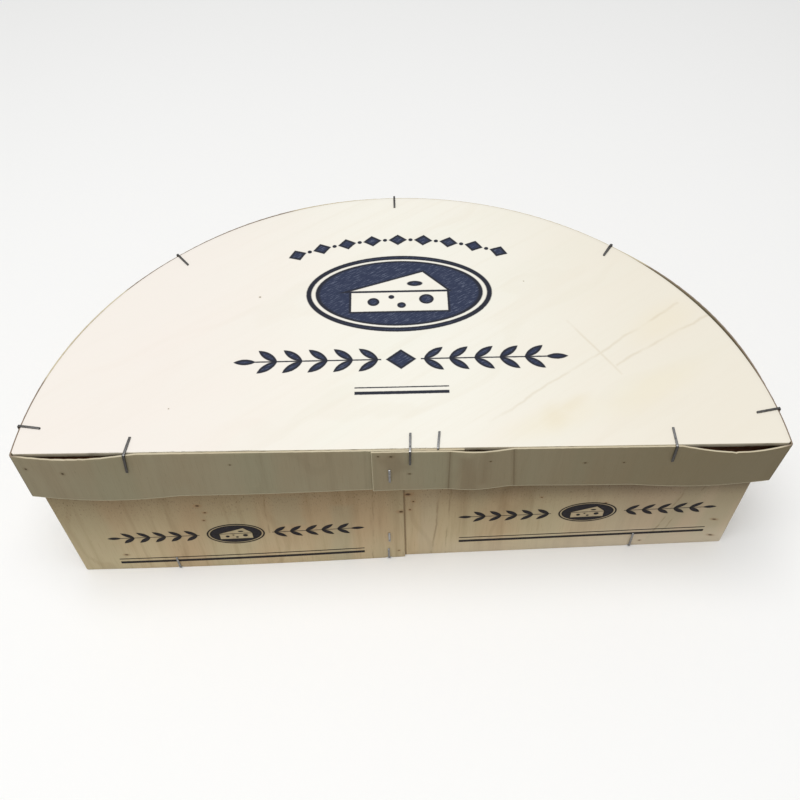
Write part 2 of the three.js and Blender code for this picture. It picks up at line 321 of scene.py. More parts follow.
# A flat drawing in millimetres. Its shapes are distances: below 0 inside, above 0 outside
class Sheet:
    def __init__(self, finish, x, y):
        self.finish = finish
        self.x = x
        self.y = y
        self.place = finish.node("ShaderNodeCombineXYZ", None, {0: x, 1: y})

    def shifted(self, x, y=0):
        return Sheet(self.finish, self.x - x, self.y - y)

    def mirrored(self):
        return Sheet(self.finish, abs(self.x), self.y)

    def folded(self):
        return Sheet(self.finish, self.x, abs(self.y))

    def repeated(self, pitch):
        return Sheet(self.finish, self.finish.maths("WRAP", self.x, pitch / 2, -pitch / 2), self.y)

    # Bent round the sheet's origin: x runs along an arc of this radius, and y outwards from it
    def curved(self, radius):
        reach = self.finish.vectors("LENGTH", self.place, output="Value")
        along = self.finish.maths("ARCTAN2", self.x, self.y) * radius
        return Sheet(self.finish, along, reach - radius)

    # The sheet as seen from a shape: centred on it, turned with it and 1 at its edge
    def seen(self, x, y, turn=0, size=(1, 1)):
        sockets = {
            "Vector": self.place, "Location": (x, y, 0), "Rotation": (0, 0, math.radians(turn)),
            "Scale": (*size, 1),
        }
        return self.finish.node("ShaderNodeMapping", {"vector_type": "TEXTURE"}, sockets)

    def oval(self, x, y, half, rise):
        reach = self.finish.vectors("LENGTH", self.seen(x, y, 0, (half, rise)), output="Value")
        return (reach - 1) * min(half, rise)

    def bar(self, x, y, half, rise, turn=0):
        folded = self.finish.vectors("ABSOLUTE", self.seen(x, y, turn))
        away = self.finish.vectors("SUBTRACT", folded, (half, rise, 0))
        return self.finish.most(self.finish.axis(away, "X"), self.finish.axis(away, "Y"))

    def diamond(self, x, y, half, rise):
        folded = self.finish.vectors("ABSOLUTE", self.seen(x, y, 0, (half, rise)))
        reach = self.finish.vectors("DOT_PRODUCT", folded, (1, 1, 0), output="Value")
        return (reach - 1) * (0.7 * min(half, rise))  # 0.7 as its sides slope

    # Two arcs that meet in points
    def leaf(self, x, y, half, rise, turn=0):
        radius = (half**2 + rise**2) / (2 * rise)
        folded = self.finish.vectors("ABSOLUTE", self.seen(x, y, turn))
        reach = self.finish.vectors("DISTANCE", folded, (0, rise - radius, 0), output="Value")
        return reach - radius

    def line(self, start, end, width):
        along = Vector(end) - Vector(start)
        middle = (Vector(start) + Vector(end)) / 2
        turn = math.degrees(math.atan2(along.y, along.x))
        return self.bar(middle.x, middle.y, along.length / 2, width / 2, turn)


# An oval badge with a wedge of cheese left bare in it
def drawBadge(sheet, half, rise):
    finish = sheet.finish
    unit = rise / 27  # it was drawn 27 high from its middle
    ring = abs(sheet.oval(0, 0, half - 3.6 * unit, rise - 3.4 * unit)) - 0.55 * unit
    side = sheet.bar(0, -6.5 * unit, 24 * unit, 6.5 * unit)
    # each slope of the top is followed by what makes it a distance
    back = (sheet.y - 1.4 * unit - (sheet.x + 24 * unit) * 0.36) * 0.94
    right = (sheet.y - 1.4 * unit - (24 * unit - sheet.x) * 1.1) * 0.67
    top = finish.most(1.4 * unit - sheet.y, back, right)
    holes = [
        (-13, -6.5, 3, 2.8), (1, -9, 2.2, 2), (13.5, -5, 3.7, 3.4), (-4, -3.2, 1.5, 1.4),
        (8, 6.2, 4, 1.9),
    ]
    hole = finish.least(*[sheet.oval(*(value * unit for value in oval)) for oval in holes])
    wedge = finish.most(finish.least(side, top), -hole)
    return finish.most(sheet.oval(0, 0, half, rise), -ring, -wedge)


# A stem with pairs of leaves to the right of a place and, mirrored, to the left of it
def drawLaurel(sheet, start, pitch, count):
    finish = sheet.finish
    half = sheet.mirrored().shifted(start)
    pairs = half.shifted(pitch / 2).repeated(pitch).folded()
    leaf = pairs.leaf(0, pitch * 0.29, pitch * 0.5, pitch * 0.17, 38)
    length = pitch * count
    inside = abs(half.x - length / 2) - length / 2
    stem = half.bar(length / 2, 0, length / 2, pitch * 0.035)
    bud = half.leaf(length + pitch * 0.4, 0, pitch * 0.45, pitch * 0.15)
    return finish.least(finish.most(leaf, inside), stem, bud)


# Diamonds with dots between them, an odd number of diamonds about the middle
def drawDiamonds(sheet, pitch, count, half, rise):
    finish = sheet.finish
    diamond = sheet.repeated(pitch).diamond(0, 0, half, rise)
    dot = sheet.shifted(pitch / 2).repeated(pitch).oval(0, 0, rise * 0.28, rise * 0.28)
    inside = abs(sheet.x) - (pitch * (count - 1) / 2 + half + 0.3)
    return finish.most(finish.least(diamond, dot), inside)


# Stamped ink over a tone: scratchy inside, solid along its outline
def layInk(finish, tone, sheet, drawing, ink):
    scratches = finish.cloud(sheet.seen(0, 0, ink["turn"]), ink["scratchScale"], 3, 0.6, 41)
    deepInside = finish.ease(drawing, -ink["outline"], -2.2 * ink["outline"])
    colour = finish.tint(ink["dark"], ink["middle"], deepInside)
    scratched = finish.ease(scratches, *ink["scratches"]) * deepInside
    colour = finish.tint(colour, ink["light"], scratched * ink["scratch"])
    cover = finish.ease(drawing, ink["blur"], -ink["blur"])
    return finish.tint(tone, colour, cover * ink["cover"])


# How far a place is from the nearest of some ovals, where 1 is the edge of an oval
def nearestOval(sheet, marks):
    finish = sheet.finish
    return finish.least(*[
        finish.vectors("LENGTH", sheet.seen(x, up, turn, (half, rise)), output="Value")
        for x, up, half, rise, turn in marks
    ])


def nearestBar(sheet, marks):
    return sheet.finish.least(*[sheet.bar(*mark) for mark in marks])


def nearestLine(sheet, marks):
    return sheet.finish.least(*[sheet.line(*mark) for mark in marks])


# Knots: ragged, nearly black in the middle with a brown ring
def layKnots(finish, tone, sheet, marks, look):
    near = nearestOval(sheet, marks)
    tone = finish.lay(tone, look["haloCoat"], near)
    return finish.lay(tone, look["knotCoat"], near)


# Where the lines in the wood show, as they fade out in places
def unbroken(finish, look):
    return finish.ease(finish.cloud(finish.place("flat"), *look["gapNoise"]), *look["gaps"])


# The flat wood as a sheet, its places shaken a little so that no outline is clean
def roughSheet(finish, upAxis, shake, scale=0.9):
    flat = finish.place("flat")
    jitter = finish.cloud(flat, (scale, scale, scale), 3, 0.6, 63) - 0.5
    return Sheet(
        finish, finish.axis(flat, "X") + jitter * shake, finish.axis(flat, upAxis) - jitter * shake
    )


poplar = {
    # noises: features per millimetre across and along the grain, detail, roughness and seed
    "drift": ((0.02, 0.02, 0.008), 3, 0.55, 0),
    "patch": ((0.035, 0.035, 0.006), 2, 0.4, 13),
    "wander": ((0.03, 0.03, 0.012), 2, 0.5, 7),
    "streak": ((0.2, 0.2, 0.006), 5, 0.62, 3),
    "fibre": ((2.4, 2.4, 0.07), 3, 0.6, 5),
    "fleck": ((1.7, 1.7, 0.16), 2, 0.5, 9),
    # where each starts to show and where it is full
    "shown": {
        "drift": (0.38, 0.66), "patch": (0.46, 0.62), "streak": (0.46, 0.74), "figure": (0.88, 1),
        "fibre": (0.52, 0.75), "fleck": (0.68, 0.76),
    },
    "relief": {"fibre": 0.5, "streak": 0.35, "fleck": 0.15},
    "gloss": 0.15,
    "roughness": 0.66,
    "fibreRoughness": 0.2,
    "bump": 0.5,
    "bumpDepth": 0.00006,  # metres
}


# Thin-sliced poplar. The grain runs along z of the grain place.
def layWood(finish, look):
    grain = finish.place("grain")
    drift, patch, wander, streak, fibre, fleck = (
        finish.cloud(grain, *poplar[name][:3], look["seed"] + poplar[name][3])
        for name in ("drift", "patch", "wander", "streak", "fibre", "fleck")
    )
    figure = finish.maths(
        "SINE", finish.axis(grain, "X") * look["figureRate"] + wander * look["figureWander"]
    )
    shown = poplar["shown"]
    tone = finish.tint(look["pale"], look["warm"], finish.ease(drift, *shown["drift"]))
    tone = finish.tint(tone, look["cool"], finish.ease(patch, *shown["patch"]) * look["patch"])
    tone = finish.tint(tone, look["deep"], finish.ease(streak, *shown["streak"]) * look["streak"])
    tone = finish.tint(tone, look["deep"], finish.ease(figure, *shown["figure"]) * look["figure"])
    tone = finish.tint(tone, look["deep"], finish.ease(fibre, *shown["fibre"]) * look["fibre"])
    tone = finish.tint(tone, look["fleckTone"], finish.ease(fleck, *shown["fleck"]) * look["fleck"])
    relief = poplar["relief"]
    height = fibre * relief["fibre"] + streak * relief["streak"] + fleck * relief["fleck"]
    return tone, height, fibre


def closeWood(finish, tone, height, fibre):
    sockets = {"Height": height, "Distance": poplar["bumpDepth"], "Strength": poplar["bump"]}
    roughness = poplar["roughness"] + fibre * poplar["fibreRoughness"]
    finish.feed(finish.shader.inputs["Base Color"], tone)
    finish.feed(finish.shader.inputs["Roughness"], roughness)
    finish.feed(finish.shader.inputs["Normal"], finish.node("ShaderNodeBump", None, sockets))
    return finish.material


# The lid's panel
panel = {
    "thickness": 2.4,
    "cadFront": -1.15,  # y of the foremost point of the CAD panel
    "inset": 0.86,  # from the outside of the rim
    "rings": 82,
    "spokes": 160,
    "chip": 0.9,  # cut off its two corners
    "edge": 0.22,
    "warp": 0.12,
    "warpScale": 0.02,
    "grainAngle": 35,  # degrees from the front
    "over": 0.03,  # radians that the half circle goes on past each end, before its front is cut
    "fray": 0.5,
    "frayFrom": 0.15,  # how much of the noise leaves the front edge clean
    "frayDepth": 0.4,
    "frayScale": 0.5,
}


def panelFront(x):
    return frontLine(x) + panel["inset"]


def makePanel(finishes):
    bm = bmesh.new()
    outer = box["lidRadius"] - panel["inset"]
    over = panel["over"]
    way = Vector((math.cos(over), -math.sin(over), 0)) * outer / panel["rings"]
    line = [bm.verts.new(way * i) for i in range(panel["rings"] + 1)]
    spokes = [bm.edges.new(pair) for pair in zip(line, line[1:])]
    bmesh.ops.spin(
        bm, geom=line + spokes, axis=(0, 0, 1), cent=(0, 0, 0), angle=math.pi + 2 * over,
        steps=panel["spokes"],
    )
    bmesh.ops.remove_doubles(bm, verts=bm.verts, dist=1e-3)
    slope = (rim["frontRight"] - rim["frontLeft"]) / (2 * box["lidRadius"])
    cuts = [((0, panelFront(0), 0), Vector((slope, -1, 0)).normalized())]
    for side in (1, -1):
        y = panelFront(side * outer)
        tip = Vector((side * math.sqrt(outer**2 - y**2), y, 0))
        inwards = Vector((-side, 1, 0))
        cuts.append((tip + inwards * panel["chip"] / 2, -inwards.normalized()))
    for point, out in cuts:
        whole = bm.verts[:] + bm.edges[:] + bm.faces[:]
        bmesh.ops.bisect_plane(
            bm, geom=whole, dist=1e-4, plane_co=point, plane_no=out, clear_outer=True
        )
    bmesh.ops.recalc_face_normals(bm, faces=bm.faces)
    if bm.faces[:][0].normal.z < 0:
        bmesh.ops.reverse_faces(bm, faces=bm.faces)
    wholeSheet = bm.faces[:]
    bmesh.ops.solidify(bm, geom=wholeSheet, thickness=panel["thickness"])
    top = max(v.co.z for v in bm.verts)
    bmesh.ops.translate(bm, vec=(0, 0, -top), verts=bm.verts)
    softenEdges(bm, panel["edge"])
    angle = math.radians(panel["grainAngle"])
    grainTurn = Matrix((
        (-math.sin(angle), math.cos(angle), 0),
        (0, 0, 1),
        (math.cos(angle), math.sin(angle), 0),
    ))
    keepFlat(bm, grainTurn)
    bm.normal_update()
    for face in bm.faces:
        face.material_index = 0 if abs(face.normal.z) > 0.8 else 1
    for vert in bm.verts:
        wave = noise.noise(Vector((vert.co.x, vert.co.y, 0)) * panel["warpScale"])
        vert.co.z += wave * panel["warp"]
        if vert.co.y < panelFront(vert.co.x) + panel["frayDepth"]:
            place = Vector((vert.co.x * panel["frayScale"], vert.co.z, 3))
            vert.co.y += max(0, noise.noise(place) - panel["frayFrom"]) * panel["fray"]
    return finishPiece("panel", bm, lidPlace(), finishes, "lid_panel")


# The lid's rim, one strip bent round the panel, with a lap in the front
rim = {
    "depth": 30.4,
    "sink": 0.5,  # its upper edge below the top of the panel
    "veneer": 0.8,
    "corner": 0.95,
    "frontLeft": 0.6,  # y of its outside at the upper edge, at the left end
    "frontRight": -2.1,  # and at the right end, while its foot runs along y 0
    "lapOuterEnd": -12.8,
    "lapInnerEnd": 26.7,
    "lapGap": 0.1,
    "kinkLeft": 21,
    "kinkRight": 48,
    "kinkSwell": 1,
    "upperBows": [(-165, -112, 2.5), (118.5, 165, 3.6)],
    "footBows": [(-165, -98, 2.2), (-165, 0, 1.6), (56, 165, 0.7), (102, 165, 1.7)],
    "arcBows": [(10, 47, 1.5), (93, 130, 0.5), (134, 172, 0.3)],  # degrees from +x
    "arcBowAtFoot": 0.6,
    "edge": 0.15,
    "fray": 0.16,
    "frayShare": 0.05,  # of its depth, at each edge
    "frayScale": (0.45, 0.3, 9),
    "splinters": (-160, -118, 2.2),  # more fray along this part of the upper edge
    "nick": (138.8, 141.2, 0.55),  # a notch in it
    "step": 1,
}


def sumOf(bows, x):
    return sum(hump(x, *bow) for bow in bows)


def frontLine(x):
    return mix(rim["frontLeft"], rim["frontRight"], x / (2 * box["lidRadius"]) + 0.5)


def lapStand(x):
    leave = smooth(x, rim["lapInnerEnd"], rim["kinkRight"])
    swell = hump(x, rim["kinkLeft"], rim["kinkRight"], rim["kinkSwell"])
    return mix(rim["lapGap"], -rim["veneer"], leave) + swell


def makeRim(finishes):
    walk = Walk(box["lidRadius"], 0, rim["corner"])
    start, end = rim["lapOuterEnd"], walk.left(0) + rim["lapInnerEnd"]
    kinks = [rim["kinkLeft"], rim["kinkRight"]]
    bm = flatStrip(start, end, -rim["depth"], -rim["sink"], rim["step"], walk.cornerCuts() + kinks)
    bmesh.ops.solidify(bm, geom=bm.faces[:], thickness=rim["veneer"])
    nearest = min(v.co.y for v in bm.verts)
    bmesh.ops.translate(bm, vec=(0, -nearest, 0), verts=bm.verts)
    softenEdges(bm, rim["edge"])
    keepFlat(bm)
    markCuts(bm)
    along, through, down = rim["frayScale"]
    for vert in bm.verts:
        u, inward, up = vert.co
        fall = (-rim["sink"] - up) / (rim["depth"] - rim["sink"])
        point, out, frontShare = walk.at(u)
        x = point.x
        stand = mix(sumOf(rim["upperBows"], x) - frontLine(x), sumOf(rim["footBows"], x), fall)
        if u < rim["kinkRight"]:
            stand += lapStand(x) + rim["veneer"]
        angle = math.degrees(math.atan2(point.y, x))
        bow = sumOf(rim["arcBows"], angle) * mix(1, rim["arcBowAtFoot"], fall)
        point = point + out * (bow - inward) + Vector((0, -stand)) * frontShare
        edge = max(0, 1 - min(fall, 1 - fall) / rim["frayShare"])
        torn = rim["fray"] * (1 + hump(x, *rim["splinters"]) * (fall < 0.5) * (out.y < 0))
        up += edge * torn * noise.noise(Vector((u * along, inward * through, fall * down)))
        up -= edge * hump(u, *rim["nick"]) * (fall < 0.5)
        vert.co = (point.x, point.y, up)
    return finishPiece("rim", bm, lidPlace(), finishes, "lid_rim")


# The tub: its wall is a strip whose left end laps its right one in the front
tub = {
    "inset": 3.7,
    "corner": 1.3,
    "seam": 0.3,
    "seamGap": 0.02,
    "seamStep": 1.1,
    "seamFade": 70,
    "footBulge": 2.1,
    "bulgeX": -100,
    "bulgeFade": 1.3,
    "footDraw": 0.3,
    "footSkew": 0.0066,
    "wall": 0.9,
    "baseRise": 0.95,
    "baseDraft": 0.03,
    "belowPanel": 0.4,
    "notch": 0.85,  # pressed into its foot by each staple
    "notchWidths": (0.7, 1.7),  # half of it, at its deepest and at the foot
    "frontStaples": [-113.1, -7.7, 114.2],
    "arcStaples": [12, 51, 90, 129, 168],
    "edge": 0.25,
    "step": 1,
}


def tubFace(x, fall, rightSide):
    if not rightSide:
        away = (x - tub["bulgeX"]) / 100
        return -fall * (tub["footBulge"] - tub["bulgeFade"] * away * away)
    step = tub["seamStep"] * (1 - smooth(x, tub["seam"], tub["seamFade"]))
    return mix(step, tub["footDraw"] + tub["footSkew"] * x, fall)


def makeTub(finishes):
    radius = box["lidRadius"] - tub["inset"]
    walk = Walk(radius, tub["inset"], tub["corner"])
    height = box["height"] - panel["thickness"] - box["lidTilt"] * box["lidRadius"] - tub["belowPanel"]
    start, end = tub["seam"] + tub["seamGap"], walk.left(tub["seam"])
    bm = flatStrip(start, end, 0, height, tub["step"], walk.cornerCuts())
    for vert in bm.verts:
        u, inward, up = vert.co
        point, out, frontShare = walk.at(u)
        shift = tubFace(point.x, 1 - up / height, u < walk.total / 2) * frontShare
        vert.co = (point.x, point.y + shift, up)
    openEdges = [e for e in bm.edges if e.is_boundary]
    upright = [e for e in openEdges if abs(e.verts[0].co.z - e.verts[1].co.z) > 0.5]
    bmesh.ops.bridge_loops(bm, edges=upright)
    ends = [e for e in bm.edges if e.is_boundary]
    for level in (0, height):
        ring = [e for e in ends if all(abs(v.co.z - level) < 0.01 for v in e.verts)]
        bmesh.ops.edgeloop_fill(bm, edges=ring)
    bmesh.ops.recalc_face_normals(bm, faces=bm.faces)
    softenEdges(bm, tub["edge"])
    bm.normal_update()
    under = max((f for f in bm.faces if f.normal.z < -0.9), key=lambda f: f.calc_area())
    sides = set(bm.faces) - {under}
    bmesh.ops.inset_region(bm, faces=[under], thickness=tub["wall"])
    edgeFaces = set(bm.faces) - sides - {under}
    bmesh.ops.inset_region(bm, faces=[under], thickness=tub["baseDraft"], depth=-tub["baseRise"])
    flat = bm.verts.layers.float_vector.new("flat")
    grain = bm.verts.layers.float_vector.new("grain")
    basePoints = set(under.verts)
    for vert in bm.verts:
        walked = walk.unroll(vert.co, tub["seam"] + 0.01)
        vert[flat] = (walked, 0, vert.co.z)
        vert[grain] = (vert.co.y, vert.co.z, vert.co.x) if vert in basePoints else vert[flat]
        if vert.co.z < 0.5:
            away = min(abs(walked - place) for place in staplePlaces(walk))
            vert.co.z += tub["notch"] * (1 - smooth(away, *tub["notchWidths"]))
    for face in bm.faces:
        face.material_index = 2 if face == under else int(face in edgeFaces)
    return finishPiece("tub_whole", bm, tubPlace(), finishes, "tub")


# Where the staples fold under the foot, as walked places
def staplePlaces(walk):
    fronts = [x if x > 0 else walk.left(x) for x in tub["frontStaples"]]
    return fronts + [walk.onArc(angle) for angle in tub["arcStaples"]]


wireLook = {
    # painted light and reflection: how pale the upright legs, and what faces up, are painted, by the
    # start of a staple's name
    "upright": {"staple_lid": 0.05, "staple_rim": 0.4, "staple_tub": 0.75, "staple_foot": 0.55},
    "level": {"staple_lid_arc": 0.3, "staple_lid_front_left": 0.45, "staple": 0.9},
    "slim": 0.13,  # taken off each side of the CAD wire
    "edge": 0.17,
    # the painted shade and painted highlight tones between which the painted light blends
    "dark": shade(62, 58, 54),
    "pale": shade(186, 186, 186),
    "grimeCoat": (shade(58, 54, 50), 0.7, 0.5, 0.72),
    "grimeScale": 900,  # features per metre
    "roughness": 0.34,
    "grimeRoughness": 0.25,
}


def wirePaintedLight(node, way):
    return next(share for kind, share in wireLook[way].items() if node.startswith(kind))


def makeStaple(node, finish):
    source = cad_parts[node]
    bm = bmesh.new()
    bm.from_mesh(source.data)
    bmesh.ops.remove_doubles(bm, verts=bm.verts, dist=1e-6)
    bmesh.ops.dissolve_limit(bm, angle_limit=math.radians(2), verts=bm.verts, edges=bm.edges)
    softenEdges(bm, wireLook["edge"] * perMetre, angle=30)
    bm.normal_update()
    for vert in bm.verts:
        vert.co -= vert.normal * wireLook["slim"] * perMetre
    paintedLight = bm.verts.layers.float_vector.new("paintedLight")
    upright, level = wirePaintedLight(node, "upright"), wirePaintedLight(node, "level")
    # painted light: faces that point up are painted paler, as if lit from above
    for vert in bm.verts:
        vert[paintedLight] = (max(upright, level * smooth(vert.normal.z, 0.2, 0.9)), 0, 0)
    name = node.replace("staple", "wire")
    return finishPiece(name, bm, Matrix.Identity(4), [finish], node)


tubWalk = Walk(box["lidRadius"] - tub["inset"], tub["inset"], tub["corner"])
rimWalk = Walk(box["lidRadius"], 0, rim["corner"])

tubWood = {
    "seed": 11,
    "pale": shade(211, 194, 157),
    "warm": shade(203, 177, 141),
    "cool": shade(198, 189, 154),
    "deep": shade(150, 124, 90),
    "fleckTone": shade(84, 64, 44),
    "patch": 0.55,
    "streak": 0.38,
    "figure": 0.16,
    "figureRate": 0.16,
    "figureWander": 14,
    "fibre": 0.3,
    "fleck": 0.3,
    "shake": 0.5,  # how far the outlines of marks waver
    "vein": (4, 0.05),  # the same for what follows the grain, and its waves per millimetre
    # knots: place on the front, height, half width, half height, turn
    "knots": [
        (-94.5, 54.9, 1.2, 0.9, 0), (-92, 49, 0.8, 0.7, 0), (-93.7, 42.5, 0.7, 0.6, 0),
        (-137.2, 13.7, 1.1, 0.7, 0), (2.5, 55.6, 1.7, 1.2, 0), (5, 49.4, 0.7, 0.7, 0),
        (3.3, 42.4, 0.6, 0.7, 0), (-0.9, 42.7, 1.3, 1.1, 0), (-2.6, 6.6, 0.6, 0.6, 0),
        (152.2, 22.8, 1.5, 0.7, -20), (154.2, 7.2, 1.5, 0.7, -20), (118.9, 4.7, 0.7, 0.5, 0),
        (95.8, 42.3, 0.9, 0.6, 0), (64.8, 49.6, 0.6, 0.5, 0),
    ],
    # darker lines: upper end, lower end, width
    "lines": [
        ((17.4, 62), (13.8, 0), 0.5), ((22.4, 62), (20.6, 0), 0.2), ((-13.5, 62), (-15.8, 0), 0.2),
        ((134, 62), (122, 4), 0.4), ((143, 62), (128, 14), 0.3), ((-63, 62), (-65, 30), 0.3),
    ],
    "gapNoise": ((0.1, 0.1, 0.08), 2, 0.5, 19),
    "gaps": (0.35, 0.6),
    # cooler patches, and a pale streak less what is cut from it: place, half sizes, turn
    "patches": [
        (133, 36, 5.5, 34, -13), (152, 30, 6.5, 60, -6), (-54, 48, 7, 12, 0), (-30, 20, 5, 30, -4),
    ],
    "streakPale": (12, 30, 4.6, 60, -2),
    "streakCut": (23.5, 30, 7, 60, -3.5),
    "seamLine": 0.8,
    "rightEnd": ((50, 130), (165, 260)),  # where it comes in along the walk, and goes out
    # where the painted shade under the rim and the painted light at the foot lie, stronger towards the
    # right end
    "rightHalf": ((8, 30), (162, 200)),
    "rightEndMore": 0.7,
    "greyTone": shade(206, 190, 166),
    "grey": 0.6,
    "paleCoat": (shade(206, 196, 172), 0.25, 1.6, -2),
    "coolCoat": (shade(186, 178, 148), 0.5, 2.5, -2.5),
    "lineCoat": (shade(134, 108, 80), 0.5, 0.5, -0.2),
    "seamCoat": (shade(104, 80, 56), 0.65, 0.65, 0.1),
    "paintedLidShadeCoat": (shade(122, 102, 70), 0.84, -8, 90),  # by height: painted shade, the wall darkens towards the lid
    # painted shade just under the rim, right of the seam
    "paintedTopShadeCoat": (shade(50, 34, 24), 0.4, 44, 64),
    # painted light: the foot is paler right of the seam, as if lit from the floor
    "paintedFootLightCoat": (shade(222, 208, 184), 0.4, 20, 2),
    "speckCoat": (shade(84, 64, 44), 0.75, 0.57, 0.67),
    "specks": ((2.1, 2.1, 0.5), 3, 0.6, 17),
    "speckHeights": (34, 66),
    "haloCoat": (shade(150, 112, 74), 0.4, 2.4, 0.9),
    "knotCoat": (shade(70, 48, 30), 0.9, 1.05, 0.35),
    "paintedSlitShadeCoat": (shade(150, 98, 66), 0.9, 69, 74),  # by height: painted shade up under the lid, seen only through the lid's slits
}

# The print on the tub, twice: its middle on the front, the height of its thick rule, and its slope
stamp = {
    "left": (-80.7, 7.05, 0.0105),
    "right": (88.3, 12, 0.0083),
    "rule": 61,
    "badge": (14, 8.8),
    "badgeUp": 22.6,
    "laurel": (17.5, 7.6, 5),
    "thick": 1.05,
    "thin": 0.4,
    "thinUp": 3.3,
    "shake": 0.14,
}

tubInk = {
    "dark": shade(9, 8, 14),
    "middle": shade(15, 15, 29),
    "light": shade(80, 76, 84),
    "scratch": 0.25,
    "scratchScale": (0.4, 3, 1),
    "scratches": (0.52, 0.68),
    "turn": 30,
    "outline": 0.3,
    "blur": 0.16,
    "cover": 0.97,
}

rimWood = {
    "seed": 31,
    "pale": shade(152, 142, 116),
    "warm": shade(148, 134, 107),
    "cool": shade(146, 141, 115),
    "deep": shade(116, 102, 77),
    "fleckTone": shade(76, 64, 45),
    "patch": 0.6,
    "streak": 0.2,
    "figure": 0.1,
    "figureRate": 0.12,
    "figureWander": 12,
    "fibre": 0.26,
    "fleck": 0.22,
    "shake": 0.4,
    "vein": (3, 0.08),
    "knots": [
        (-4.4, -3.6, 0.9, 0.7, 0), (-9.8, -3.3, 0.6, 0.6, 0), (3.5, -17.2, 0.8, 0.6, 0),
        (38.1, -7.8, 0.6, 0.5, 0), (79.2, -12, 0.8, 0.6, 0), (95.9, -12.1, 0.6, 0.5, 0),
        (-160.3, -8.8, 0.7, 0.8, 0), (-144.7, -10.3, 0.8, 0.9, 0), (-73.2, -8.5, 0.6, 0.5, 0),
    ],
    "smudges": [(29, -18, 2.2, 12, 3), (36, -12, 1.4, 13, -2), (-3, -9, 4, 6, 30)],
    "kinks": [((20.6, 0), (20.8, -31), 0.3), ((47.5, 0), (50.2, -31), 0.3)],
    "rightEnd": ((-20, 150), (200, 260)),
    "rightTone": shade(122, 110, 84),
    "right": 0.8,
    "smudgeCoat": (shade(116, 99, 74), 0.36, 3.6, -2.2),
    # painted shade beside the kinks and along their creases
    "paintedKinkShadeCoat": (shade(116, 99, 74), 0.35, 1.8, 0),
    "paintedCreaseShadeCoat": (shade(92, 78, 56), 0.42, 0.35, -0.1),
    "cornerCoat": (shade(92, 78, 56), 0.55, 0.9, 0.1),
    "cornerPast": 0.6,  # the bend's crease lies this far past the front's end
    "haloCoat": (shade(120, 102, 74), 0.4, 2.4, 0.9),
    "knotCoat": (shade(62, 48, 32), 0.9, 1.05, 0.35),
    "edgeTone": shade(190, 180, 152),
    "edge": 0.6,
    "footEdge": (0.75, 0.4),
    "lapEdge": (0.55, 0.25),
}

panelWood = {
    "seed": 53,
    "pale": shade(241, 238, 227),
    "warm": shade(241, 235, 223),
    "cool": shade(238, 237, 225),
    "deep": shade(214, 198, 168),
    "fleckTone": shade(176, 156, 126),
    "patch": 0.5,
    "streak": 0.1,
    "figure": 0.07,
    "figureRate": 0.09,
    "figureWander": 10,
    "fibre": 0.08,
    "fleck": 0.06,
    "shake": 0.3,
    "vein": (3.5, 0.05),
    "knots": [(-66.3, 91.7, 0.5, 0.5, 0), (-101, 24, 0.35, 0.3, 0), (62, 99, 0.3, 0.3, 0)],
    "stains": [(66, 14, 26, 8, 22), (112, 30, 30, 9, 30), (124, 70, 22, 10, 35)],
    "blotches": [(67, 15, 7, 6, 60), (76, 22, 9, 3, 35)],
    "lines": [
        ((38, 13), (134, 82), 0.35), ((98, 44), (146, 74), 0.4), ((79.5, 71.9), (99.6, 38.4), 0.2),
    ],
    "gapNoise": ((0.05, 0.05, 1), 2, 0.5, 19),
    "gaps": (0.3, 0.6),
    "pinkCoat": (shade(240, 232, 225), 0.75, 0, -120),  # by the place along the front
    "sandCoat": (shade(233, 226, 210), 0.7, 10, 130),
    "stainCoat": (shade(236, 225, 196), 0.3, 1.4, 0.1),
    "blotchCoat": (shade(222, 204, 160), 0.15, 1.5, 0.1),
    "lineCoat": (shade(196, 178, 144), 0.27, 1, -0.3),
    "haloCoat": (shade(214, 200, 176), 0.4, 2.4, 0.9),
    "knotCoat": (shade(70, 60, 50), 0.9, 1.05, 0.35),
}

# The print on the lid: heights from the front of its oval, its laurel and its rules
lidPrint = {
    "middle": 1,
    "badge": (45, 26),
    "badgeUp": 93,
    "laurel": (9, 11.5, 5),
    "diamond": (7, 6),
    "laurelUp": 50,
    "rowRadius": 131,
    "row": (13, 9, 4.8, 4),
    "rule": 21,
    "thick": 0.9,
    "thickUp": 30.5,
    "thin": 0.35,
    "thinUp": 33.6,
}

lidInk = {
    "dark": shade(22, 27, 44),
    "middle": shade(34, 45, 74),
    "light": shade(122, 130, 150),
    "scratch": 0.55,
    "scratchScale": (0.25, 2.1, 1),
    "scratches": (0.52, 0.68),
    "turn": 32,
    "outline": 0.7,
    "blur": 0.2,
    "cover": 0.98,
}

cutWood = {
    "seed": 71,
    "pale": shade(230, 222, 200),
    "warm": shade(224, 212, 188),
    "cool": shade(220, 214, 194),
    "deep": shade(186, 168, 138),
    "fleckTone": shade(140, 120, 94),
    "patch": 0.4,
    "streak": 0.3,
    "figure": 0,
    "figureRate": 0.1,
    "figureWander": 4,
    "fibre": 0.3,
    "fleck": 0.3,
}

rimCutWood = {
    **cutWood,
    "pale": shade(206, 196, 170),
    "warm": shade(198, 185, 157),
    "cool": shade(194, 187, 163),
    # painted shade along the upper edge on these parts of the arc
    "paintedEdgeShadeArcs": [(-1, 41), (109, 143), (165, 181)],  # degrees from +x
    "paintedEdgeShadeHalf": 5,  # above and below the upper edge
    "paintedEdgeShadeCoat": (shade(122, 104, 92), 0.85, 3, -3),
}


# Marks on the left half of the front lie near the end of the walk
def onWalk(marks, walk, seam):
    return [(x if x > seam else walk.left(x), *rest) for x, *rest in marks]


def onTub(marks):
    return onWalk(marks, tubWalk, tub["seam"])


